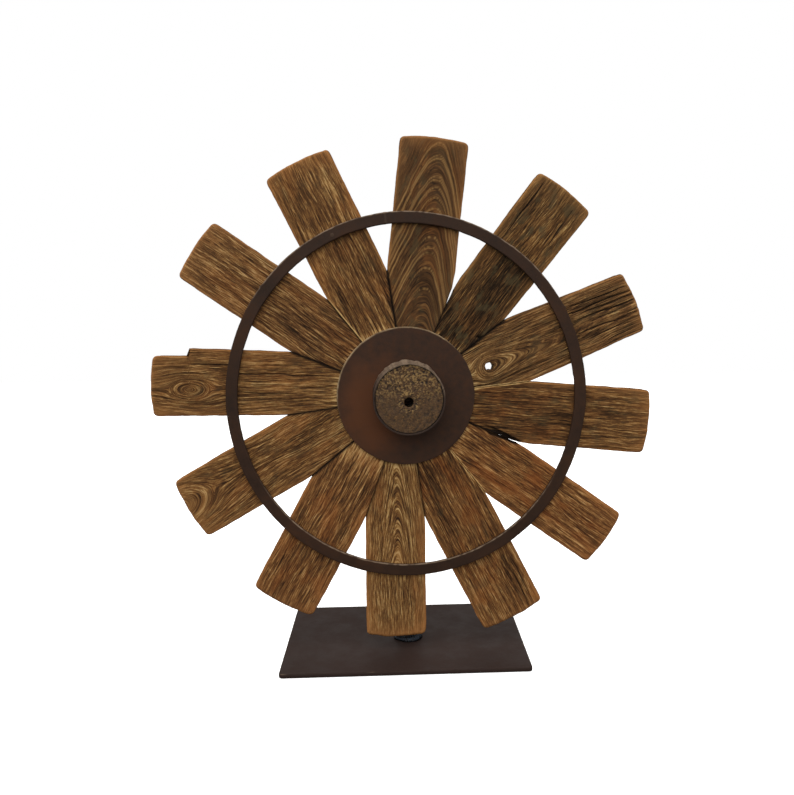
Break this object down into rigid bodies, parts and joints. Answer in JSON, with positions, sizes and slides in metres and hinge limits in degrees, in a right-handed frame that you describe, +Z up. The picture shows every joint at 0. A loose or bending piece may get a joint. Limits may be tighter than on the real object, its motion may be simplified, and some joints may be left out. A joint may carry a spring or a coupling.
{
  "type": "wind spinner",
  "caption": "Free-standing windmill ornament: a wheel of weathered planks on a steel hub with a flat ring, turning on a post over a rectangular base plate.",
  "frame": {"origin": "centre of the base plate's underside", "axes": "+Z up, -Y towards the front of the wheel, +X to the right as the front is seen"},
  "size_m": [0.6099, 0.21, 0.6348],
  "materials": {
    "weathered_wood": "dark weathered plank with raised golden grain",
    "end_grain": "pitted dark end grain",
    "rusted_steel": "dark brown oxidised steel",
    "base_steel": "dark satin oxidised plate",
    "sleeve_steel": "browned tube",
    "weld_steel": "blued, glossy weld metal",
    "plain_steel": "dull zinc",
    "bronze": "turned bronze",
    "cap_rubber": "matt black"
  },
  "bodies": {
    "stand": {"base_plate": "base_steel", "post": "rusted_steel", "post_weld_bead": "weld_steel", "post_cap": "cap_rubber", "axle_bolt": "plain_steel", "axle_jam_nut": "plain_steel", "axle_washer": "plain_steel", "axle_nut": "plain_steel"},
    "wheel": {"hub_sleeve": "sleeve_steel", "hub_plug": "end_grain", "hub_front_disc": "rusted_steel", "hub_rear_disc": "rusted_steel", "rear_bearing_web": "plain_steel", "front_bearing_web": "plain_steel", "rear_bush": "bronze", "front_bush": "bronze", "ring": "rusted_steel", "plank_01": "weathered_wood", "plank_02": "weathered_wood", "plank_03": "weathered_wood", "plank_04": "weathered_wood", "plank_05": "weathered_wood", "plank_06": "weathered_wood", "plank_07": "weathered_wood", "plank_08": "weathered_wood", "plank_09": "weathered_wood", "plank_10": "weathered_wood", "plank_11": "weathered_wood", "plank_12": "weathered_wood", "ring_screw_01": "plain_steel", "ring_screw_02": "plain_steel", "ring_screw_03": "plain_steel", "ring_screw_04": "plain_steel", "ring_screw_05": "plain_steel", "ring_screw_06": "plain_steel", "ring_screw_07": "plain_steel", "ring_screw_08": "plain_steel", "ring_screw_09": "plain_steel", "ring_screw_10": "plain_steel", "ring_screw_11": "plain_steel", "ring_screw_12": "plain_steel", "disc_screw_01": "plain_steel", "disc_screw_02": "plain_steel", "disc_screw_03": "plain_steel", "disc_screw_04": "plain_steel", "disc_screw_05": "plain_steel", "disc_screw_06": "plain_steel", "disc_screw_07": "plain_steel", "disc_screw_08": "plain_steel", "disc_screw_09": "plain_steel", "disc_screw_10": "plain_steel", "disc_screw_11": "plain_steel", "disc_screw_12": "plain_steel"}
  },
  "joints": [
    {"name": "wheel_spin", "type": "hinge", "parent": "stand", "child": "wheel", "pos_m": [0.005, -0.045, 0.3245], "axis": [0, -1, 0], "continuous": true}
  ]
}
